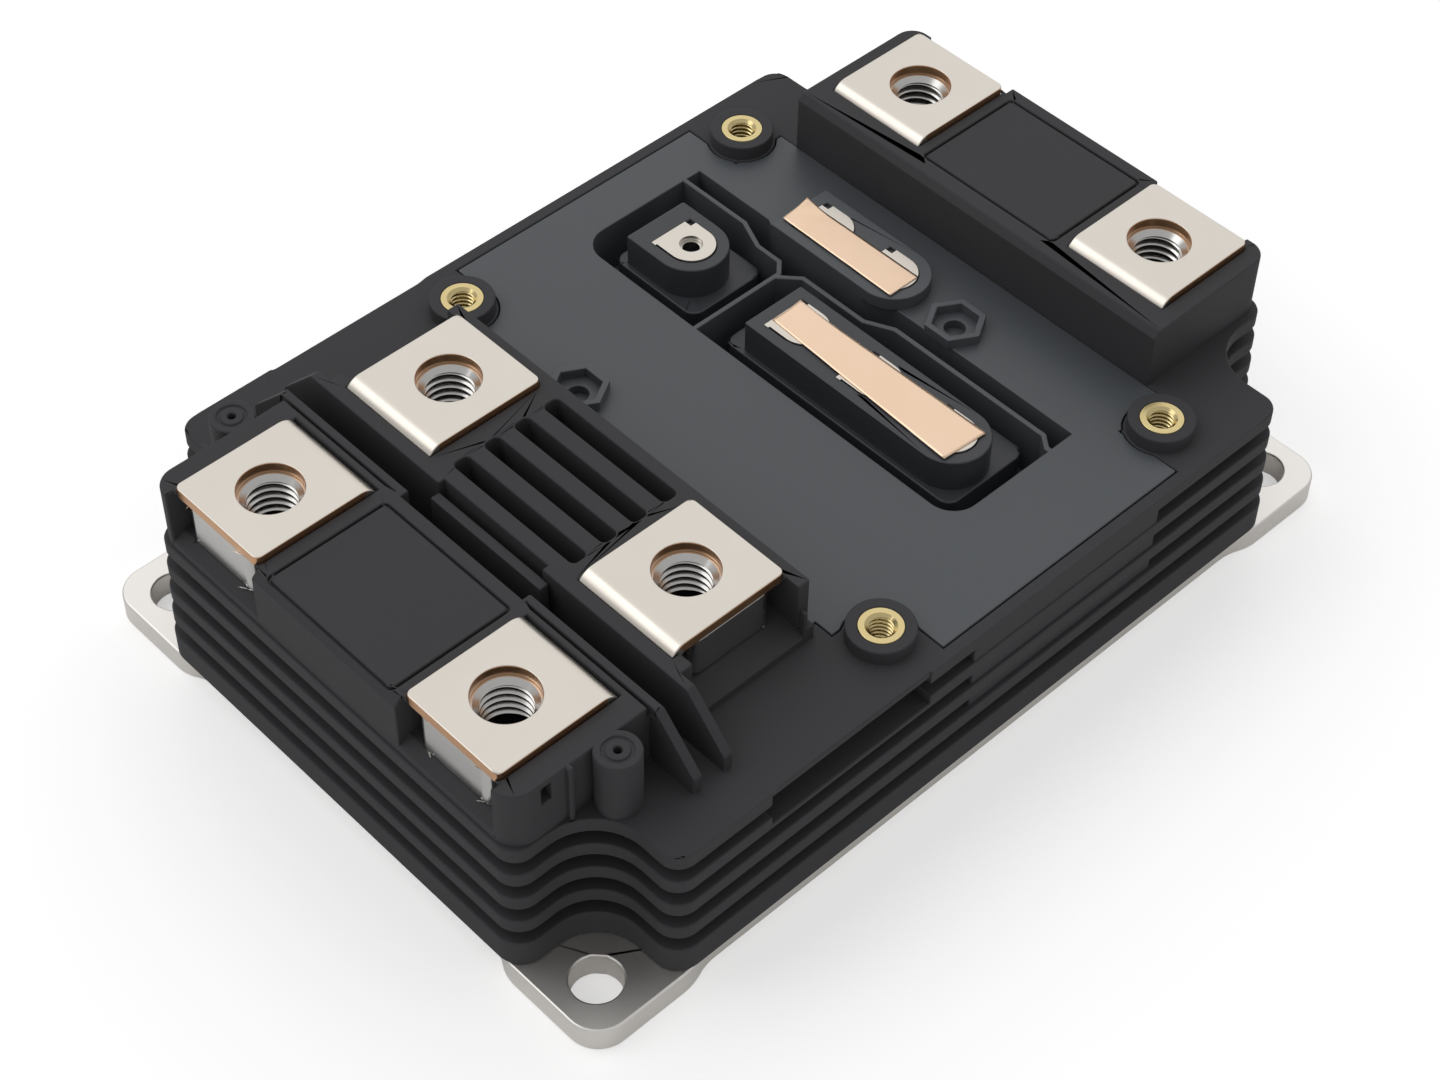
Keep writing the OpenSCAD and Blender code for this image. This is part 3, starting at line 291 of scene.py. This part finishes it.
class Finish(Enum):
    """Every finish on the module."""

    CASE = Moulding("case_plastic", (0.030, 0.031, 0.034), (0.042, 0.043, 0.047))
    COVER = Moulding("cover_plastic", (0.050, 0.052, 0.060), (0.066, 0.069, 0.078), 0.40)
    HOLDER = Moulding("holder_plastic", (0.040, 0.042, 0.048), (0.056, 0.058, 0.066), 0.40)
    TERMINAL = Plating("terminal_plating", (0.80, 0.75, 0.68), (0.74, 0.69, 0.62), 0.30, 0.10, (1.0, 0.15, 1.0))
    COPPER_EDGE = Plating("sheared_copper", (0.84, 0.52, 0.30), (0.70, 0.38, 0.20), 0.30, 0.12, (1.0, 1.0, 0.1))
    STEEL = Plating("nut_steel", (0.72, 0.71, 0.69), (0.64, 0.63, 0.61), 0.22, 0.12)
    BRASS = Plating("insert_brass", (0.80, 0.66, 0.34), (0.72, 0.58, 0.28), 0.22, 0.10)
    BASE = Plating("base_plating", (0.95, 0.92, 0.88), (0.92, 0.89, 0.85), 0.38, 0.08)
    FOIL = Plating("shorting_foil", (0.97, 0.74, 0.56), (0.94, 0.68, 0.48), 0.34, 0.10)
    SOLDER = Plating("solder", (0.50, 0.50, 0.50), (0.44, 0.44, 0.44), 0.4, 0.1)
    WIRE = Plating("aluminium_wire", (0.80, 0.80, 0.81), (0.76, 0.76, 0.78), 0.3, 0.1)
    SEALANT = Plain("sealant", (0.42, 0.42, 0.43), (0.36, 0.36, 0.37), 0.5)
    CERAMIC = Plain("ceramic", (0.84, 0.84, 0.81), (0.78, 0.78, 0.75), 0.55)
    DARK_CERAMIC = Plain("dark_ceramic", (0.12, 0.12, 0.13), (0.09, 0.09, 0.10), 0.5)
    SILICON = Plain("silicon", (0.16, 0.18, 0.22), (0.12, 0.13, 0.17), 0.15)
    GEL = Plain("silicone_gel", (0.66, 0.68, 0.70), (0.60, 0.62, 0.64), 0.2)

    def material(self) -> bpy.types.Material:
        """The finish's material, made once."""
        found = bpy.data.materials.get(self.value.name)
        return found if found is not None else self.value.make()


# ---------------------------------------------------------------- mesh helpers
def place_mesh(name: str, bm: bmesh.types.BMesh, finishes: Sequence[Finish], smooth_deg: float = 35.0) -> bpy.types.Object:
    """Turns a bmesh into a finished object at the origin.

    Args:
        name: Name of the piece.
        bm: The shape; it is freed.
        finishes: Materials by face index.
        smooth_deg: Edges under this angle are shaded smooth.

    Returns:
        The new object, riding on the part.
    """
    mesh = bpy.data.meshes.new(name)
    bm.to_mesh(mesh)
    bm.free()
    for finish in finishes:
        mesh.materials.append(finish.material())
    mesh.shade_smooth()
    mesh.set_sharp_from_angle(angle=math.radians(smooth_deg))
    made = bpy.data.objects.new(name, mesh)
    bpy.context.scene.collection.objects.link(made)
    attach(made, "root")
    LOG.info("%s: %d faces", name, len(mesh.polygons))
    return made


def merged_copy(source: bpy.types.Object) -> bmesh.types.BMesh:
    """A copy of a solid's mesh with its doubles merged.

    Args:
        source: The solid.

    Returns:
        The new bmesh.
    """
    bm = bmesh.new()
    bm.from_mesh(source.data)
    bmesh.ops.remove_doubles(bm, verts=bm.verts, dist=2e-6)
    bmesh.ops.dissolve_degenerate(bm, edges=bm.edges, dist=1e-6)
    bmesh.ops.triangulate(bm, faces=bm.faces)
    bm.normal_update()
    return bm


def even_shading(mesh: bpy.types.Mesh, fresh: set[int]) -> None:
    """Gives faces the normals of the surfaces they belong to, so that roundings blend and flats stay flat.

    Args:
        mesh: The mesh.
        fresh: Indices of the rounding faces.
    """
    near, wide = math.cos(math.radians(30.0)), math.cos(math.radians(70.0))
    around: list[list[int]] = [[] for _ in mesh.vertices]
    normals = [Vector(p.normal) for p in mesh.polygons]
    areas = [p.area for p in mesh.polygons]
    for poly in mesh.polygons:
        for index in poly.vertices:
            around[index].append(poly.index)
    corners: list[Vector] = [Vector((0.0, 0.0, 1.0))] * len(mesh.loops)
    for poly in mesh.polygons:
        own = normals[poly.index]
        for loop in poly.loop_indices:
            ring = around[mesh.loops[loop].vertex_index]
            old = [i for i in ring if i not in fresh]
            total = Vector()
            if poly.index in fresh:
                for i in old:
                    if normals[i].dot(own) > wide:
                        total += normals[i] * areas[i]
                if total.length < 1e-16:
                    for i in ring:
                        if i in fresh:
                            total += normals[i] * areas[i]
            else:
                for i in old:
                    if normals[i].dot(own) > near:
                        total += normals[i] * areas[i]
            corners[loop] = total.normalized() if total.length > 1e-16 else own
    mesh.normals_split_custom_set([tuple(n) for n in corners])


@dataclass
class RoundedSolid:
    """A solid taken over with its outer edges rounded."""

    node: str
    finish: Finish
    radius: float = 0.22 * MM
    segments: int = 2
    edge_deg: float = 32.0
    slot: str = ""

    def chosen(self, bm: bmesh.types.BMesh) -> list[bmesh.types.BMEdge]:
        """The convex edges that are sharp and have room.

        Args:
            bm: The shape.

        Returns:
            Edges to round.
        """
        limit = math.radians(self.edge_deg)
        sharp = {e for e in bm.edges if len(e.link_faces) == 2 and e.calc_face_angle(0.0) > limit}
        rank: dict[bmesh.types.BMVert, int] = {}
        for edge in sharp:
            for vert in edge.verts:
                rank[vert] = rank.get(vert, 0) + 1
        found = []
        for edge in sharp:
            if not edge.is_convex:
                continue
            if edge.calc_length() < self.radius * 2.2 and all(rank[v] > 2 for v in edge.verts):
                continue
            found.append(edge)
        return found

    def soften(self, bm: bmesh.types.BMesh) -> set[int]:
        """Rounds the chosen edges.

        Args:
            bm: The shape.

        Returns:
            Indices of the new faces.
        """
        chosen = self.chosen(bm)
        made = bmesh.ops.bevel(
            bm, geom=chosen, offset=self.radius, offset_type="OFFSET", segments=self.segments, profile=0.5,
            affect="EDGES", clamp_overlap=False, material=-1, loop_slide=True, miter_outer="SHARP",
        )
        bm.faces.index_update()
        LOG.info("%s: %d edges rounded", self.node, len(chosen))
        return {face.index for face in made["faces"] if face.is_valid}

    def build(self, frame: dict) -> bpy.types.Object:
        """Makes the rounded piece and hides the plain solid.

        Args:
            frame: The loaded frame.

        Returns:
            The new piece.
        """
        bm = merged_copy(frame["nodes"][self.node])
        self.shape(bm)
        self.paint(bm)
        fresh = self.soften(bm)
        made = place_mesh(self.node + "_rounded", bm, self.finishes())
        even_shading(made.data, fresh)
        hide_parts(self.node)
        return made

    def finishes(self) -> list[Finish]:
        """Materials of the piece."""
        return [self.finish]

    def shape(self, bm: bmesh.types.BMesh) -> None:
        """Changes the copy before its edges are rounded; most pieces need nothing."""

    def paint(self, bm: bmesh.types.BMesh) -> None:
        """Gives faces their material index; plain pieces have one."""


@dataclass
class ShearedSheet(RoundedSolid):
    """A plated sheet whose cut edges and hole walls show copper."""

    def finishes(self) -> list[Finish]:
        """Plating and bare cut copper."""
        return [self.finish, Finish.COPPER_EDGE]

    def paint(self, bm: bmesh.types.BMesh) -> None:
        """Marks upright faces of the flat part of the sheet as cut edges."""
        top = max(v.co.z for v in bm.verts)
        for face in bm.faces:
            if abs(face.normal.z) < 0.2 and min(v.co.z for v in face.verts) > top - 1.75 * MM:
                face.material_index = 1


@dataclass
class ThreadedPiece(RoundedSolid):
    """Nuts or inserts whose plain bores become countersunk threads."""

    centres: tuple[tuple[float, float], ...] = ()
    minor: float = 3.325 * MM
    major: float = 4.0 * MM
    pitch: float = 1.25 * MM
    sink: float = 0.7 * MM
    steps: int = 56
    through: bool = True

    def shape(self, bm: bmesh.types.BMesh) -> None:
        """Opens the bore walls, widens their rims and threads them.

        Args:
            bm: The shape.
        """
        for centre in self.centres:
            self.thread(bm, Vector((centre[0] * MM, centre[1] * MM, 0.0)))

    def thread(self, bm: bmesh.types.BMesh, centre: Vector) -> None:
        """Threads one bore.

        Args:
            bm: The shape.
            centre: Middle of the bore in plan.
        """
        rim = [v for v in bm.verts if abs((v.co - centre).xy.length - self.minor) < 0.02 * MM]
        top, low = max(v.co.z for v in rim), min(v.co.z for v in rim)
        inner = set(rim)
        walls = [f for f in bm.faces if all(v in inner for v in f.verts) and abs(f.normal.z) < 0.3]
        bmesh.ops.delete(bm, geom=walls, context="FACES_ONLY")
        edges = {z: [e for v in rim if v.is_valid and abs(v.co.z - z) < 1e-6 for e in v.link_edges if all(w in inner and abs(w.co.z - z) < 1e-6 for w in e.verts)] for z in (top, low)}
        grow = (self.major + 0.12 * MM) / self.minor
        for z, sign in ((top, -1.0), (low, 1.0)):
            if z == low and not self.through:
                continue
            ring = list({e for e in edges[z]})
            for vert in {v for e in ring for v in e.verts}:
                flat = (vert.co - centre).xy * grow
                vert.co.xy = centre.xy + flat
            cone = bmesh.ops.extrude_edge_only(bm, edges=ring)
            for vert in [g for g in cone["geom"] if isinstance(g, bmesh.types.BMVert)]:
                flat = (vert.co - centre).xy.normalized() * (self.minor + 0.04 * MM)
                vert.co = Vector((centre.x + flat.x, centre.y + flat.y, z + sign * self.sink))
        self.helix(bm, centre, low + (self.sink if self.through else 0.0), top - self.sink)

    def helix(self, bm: bmesh.types.BMesh, centre: Vector, low: float, high: float) -> None:
        """Adds the thread surface between two heights.

        Args:
            bm: The shape.
            centre: Middle of the bore in plan.
            low: Lower end.
            high: Upper end.
        """
        turns = int((high - low) / self.pitch) + 3
        part = bmesh.new()
        start = low - 1.5 * self.pitch
        line = [(self.minor, 0.0), (self.minor, 0.14), (self.major, 0.47), (self.major, 0.55), (self.minor, 0.88), (self.minor, 1.0)]
        verts = [part.verts.new((centre.x + r, centre.y, start + t * self.pitch)) for r, t in line]
        edges = [part.edges.new(pair) for pair in zip(verts, verts[1:])]
        bmesh.ops.spin(
            part, geom=verts + edges, cent=centre, axis=(0.0, 0.0, 1.0), dvec=(0.0, 0.0, self.pitch / self.steps),
            angle=2.0 * math.pi * turns, steps=self.steps * turns, use_duplicate=False,
        )
        bmesh.ops.remove_doubles(part, verts=part.verts, dist=1e-6)
        for height, sign in ((high, 1.0), (low, -1.0)):
            bmesh.ops.bisect_plane(
                part, geom=part.verts[:] + part.edges[:] + part.faces[:], plane_co=(0.0, 0.0, height),
                plane_no=(0.0, 0.0, sign), clear_outer=True,
            )
        held = bpy.data.meshes.new("thread")
        part.to_mesh(held)
        part.free()
        bm.from_mesh(held)
        bpy.data.meshes.remove(held)

    def chosen(self, bm: bmesh.types.BMesh) -> list[bmesh.types.BMEdge]:
        """Only the outside of the body is rounded."""
        return [
            e for e in super().chosen(bm)
            if all(min((v.co.xy - Vector(c) * MM).length for c in self.centres) > self.major + 0.3 * MM for v in e.verts)
        ]


@dataclass
class Foil:
    """A thin hand-cut foil that lies over control terminals, with one curled corner."""

    node: str
    corners: tuple[tuple[float, float], ...]
    low: float
    curl: float = 0.9 * MM
    seed: float = 0.0

    def build(self) -> bpy.types.Object:
        """Makes the foil.

        Returns:
            The new piece.
        """
        bm = bmesh.new()
        bmesh.ops.create_grid(bm, x_segments=56, y_segments=14, size=0.5)
        spots = [Vector(c) * MM for c in self.corners]
        for vert in bm.verts:
            u, v = vert.co.x + 0.5, vert.co.y + 0.5
            front = spots[0].lerp(spots[1], u)
            rear = spots[3].lerp(spots[2], u)
            flat = front.lerp(rear, v)
            near = max(0.0, 1.0 - ((1.0 - v) * 1.3 + u * 4.2))
            wave = noise.noise(Vector((flat.x * 260.0 + self.seed, flat.y * 260.0, 0.0)))
            fine = noise.noise(Vector((flat.x * 900.0, flat.y * 900.0 + self.seed, 3.0)))
            height = self.low + 0.05 * MM + 0.05 * MM * wave + 0.012 * MM * fine + self.curl * near ** 1.6
            vert.co = Vector((flat.x + 0.5 * self.curl * near, flat.y - 0.35 * self.curl * near, height))
        made = place_mesh(self.node + "_crinkled", bm, [Finish.FOIL], 60.0)
        thick = made.modifiers.new("thick", "SOLIDIFY")
        thick.thickness = 0.07 * MM
        thick.offset = 1.0
        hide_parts(self.node)
        return made


# ---------------------------------------------------------------- studio
@dataclass
class Studio:
    """Floor, lamps and camera."""

    eye: Vector = field(default_factory=lambda: Vector((194.36, -191.29, 303.40)) * MM)
    back: Vector = field(default_factory=lambda: Vector((0.4802, -0.4678, 0.7420)).normalized())
    roll: float = 0.0188
    lens: float = 72.336

    def camera(self) -> None:
        """Sets the camera."""
        data = bpy.data.cameras.new("camera")
        data.lens = self.lens
        data.sensor_width = 36.0
        data.clip_start, data.clip_end = 0.01, 10.0
        made = bpy.data.objects.new("camera", data)
        bpy.context.scene.collection.objects.link(made)
        side = Vector((-self.back.y, self.back.x, 0.0)).normalized()
        up = self.back.cross(side)
        right = side * math.cos(self.roll) + up * math.sin(self.roll)
        over = up * math.cos(self.roll) - side * math.sin(self.roll)
        turn = Matrix((right, over, self.back)).transposed().to_4x4()
        made.matrix_world = Matrix.Translation(self.eye) @ turn
        bpy.context.scene.camera = made

    def lamp(self, name: str, place: tuple[float, float, float], size: float, power: float) -> None:
        """Adds a square soft lamp that faces the part.

        Args:
            name: Name of the lamp.
            place: Where it hangs, in metres.
            size: Side length in metres.
            power: Watts.
        """
        data = bpy.data.lights.new(name, "AREA")
        data.size = size
        data.energy = power
        made = bpy.data.objects.new(name, data)
        bpy.context.scene.collection.objects.link(made)
        made.location = place
        made.rotation_mode = "QUATERNION"
        made.rotation_quaternion = (Vector((0, 0, 0.02)) - Vector(place)).to_track_quat("-Z", "Y")

    def floor(self) -> None:
        """A plain pale floor that shows white where nothing shades it."""
        bm = bmesh.new()
        bmesh.ops.create_grid(bm, x_segments=1, y_segments=1, size=3.0)
        mesh = bpy.data.meshes.new("floor")
        bm.to_mesh(mesh)
        bm.free()
        net = Net("floor_paper")
        net.set(Base_Color=(0.86, 0.86, 0.86), Roughness=0.9, Specular_IOR_Level=0.1)
        path = net.node("ShaderNodeLightPath", {}, {}, "Is Camera Ray")
        glow = net.node("ShaderNodeEmission", {}, {"Color": (1.0, 1.0, 1.0), "Strength": 0.42})
        both = net.node("ShaderNodeAddShader", {}, {0: Sock(net, net.surface.outputs[0]), 1: glow})
        pick = net.node("ShaderNodeMixShader", {}, {0: path, 1: Sock(net, net.surface.outputs[0]), 2: both})
        net.feed(net.out.inputs["Surface"], pick)
        mesh.materials.append(net.material)
        made = bpy.data.objects.new("floor", mesh)
        bpy.context.scene.collection.objects.link(made)

    def world(self) -> None:
        """Pale surroundings, white to the camera."""
        made = bpy.data.worlds.new("studio")
        bpy.context.scene.world = made
        made.use_nodes = True
        tree = made.node_tree
        tree.nodes.clear()
        out = tree.nodes.new("ShaderNodeOutputWorld")
        mix = tree.nodes.new("ShaderNodeMixShader")
        path = tree.nodes.new("ShaderNodeLightPath")
        soft = tree.nodes.new("ShaderNodeBackground")
        white = tree.nodes.new("ShaderNodeBackground")
        soft.inputs["Color"].default_value = (1.0, 1.0, 1.0, 1.0)
        soft.inputs["Strength"].default_value = 0.5
        white.inputs["Strength"].default_value = 1.0
        white.inputs["Color"].default_value = (1.0, 1.0, 1.0, 1.0)
        tree.links.new(path.outputs["Is Camera Ray"], mix.inputs[0])
        tree.links.new(soft.outputs[0], mix.inputs[1])
        tree.links.new(white.outputs[0], mix.inputs[2])
        tree.links.new(mix.outputs[0], out.inputs["Surface"])

    def build(self) -> None:
        """Builds the whole studio."""
        self.camera()
        self.floor()
        self.world()
        self.lamp("key", (-0.62, 0.61, 0.96), 2.2, 6.0)
        self.lamp("front", (-0.62, -0.55, 1.02), 0.8, 2.2)
        bpy.context.scene.view_settings.view_transform = "Standard"


# corners of the foils in millimetres: front left, front right, rear right, rear left
FOIL_SHORT = ((-22.1, 30.86), (-0.47, 30.56), (-0.47, 36.16), (-22.6, 36.06))
FOIL_LONG = ((-8.1, 15.21), (26.26, 13.3), (26.76, 20.9), (-8.1, 20.5))

INNER: dict[str, Finish] = {
    "base_seal": Finish.SEALANT,
    "aux_nuts": Finish.STEEL,
    "substrate_solder": Finish.SOLDER,
    "substrate_back_copper": Finish.COPPER_EDGE,
    "substrate_ceramics": Finish.CERAMIC,
    "substrate_tracks": Finish.COPPER_EDGE,
    "chip_solder": Finish.SOLDER,
    "igbt_chips": Finish.SILICON,
    "diode_chips": Finish.SILICON,
    "thermistor": Finish.DARK_CERAMIC,
    "bond_wires": Finish.WIRE,
    "link_wires": Finish.WIRE,
    "gel_fill": Finish.GEL,
}


def dress_inner(frame: dict) -> None:
    """Gives the carried-over solids their materials.

    Args:
        frame: The loaded frame.
    """
    for name, finish in INNER.items():
        solid = frame["nodes"][name]
        solid.data.materials.clear()
        solid.data.materials.append(finish.material())


def main() -> None:
    """Builds the dressed module and the studio."""
    logging.basicConfig(level=logging.INFO, format="%(name)s: %(message)s")
    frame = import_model()
    dress_inner(frame)
    RoundedSolid("base_plate", Finish.BASE, 0.35 * MM, slot="nickel").build(frame)
    RoundedSolid("case", Finish.CASE, 0.25 * MM, slot="case_plastic").build(frame)
    RoundedSolid("top_cover", Finish.COVER, 0.18 * MM, slot="cover_plastic").build(frame)
    RoundedSolid("terminal_holder", Finish.HOLDER, 0.25 * MM, slot="cover_plastic").build(frame)
    for name in ("dc_front_busbar", "dc_rear_busbar", "ac_busbar"):
        ShearedSheet(name, Finish.TERMINAL, 0.18 * MM, slot="nickel_copper").build(frame)
    RoundedSolid("aux_terminals", Finish.TERMINAL, 0.08 * MM, slot="nickel_copper").build(frame)
    ThreadedPiece(
        "main_nuts", Finish.STEEL, 0.5 * MM, slot="steel",
        centres=tuple((x, y) for x in (-22.73, 22.73) for y in (-58.89, -29.76, 58.99)),
    ).build(frame)
    ThreadedPiece(
        "control_inserts", Finish.BRASS, 0.12 * MM, slot="brass",
        centres=tuple((x, y) for x in (-40.57, 40.57) for y in (-13.10, 40.47)),
        minor=1.625 * MM, major=2.0 * MM, pitch=0.7 * MM, sink=0.4 * MM, steps=32, through=False,
    ).build(frame)
    Foil("foil_short", FOIL_SHORT, 28.74 * MM, seed=1.7).build()
    Foil("foil_long", FOIL_LONG, 28.74 * MM, 0.6 * MM, seed=5.1).build()
    Studio().build()


if __name__ == "__main__":
    main()
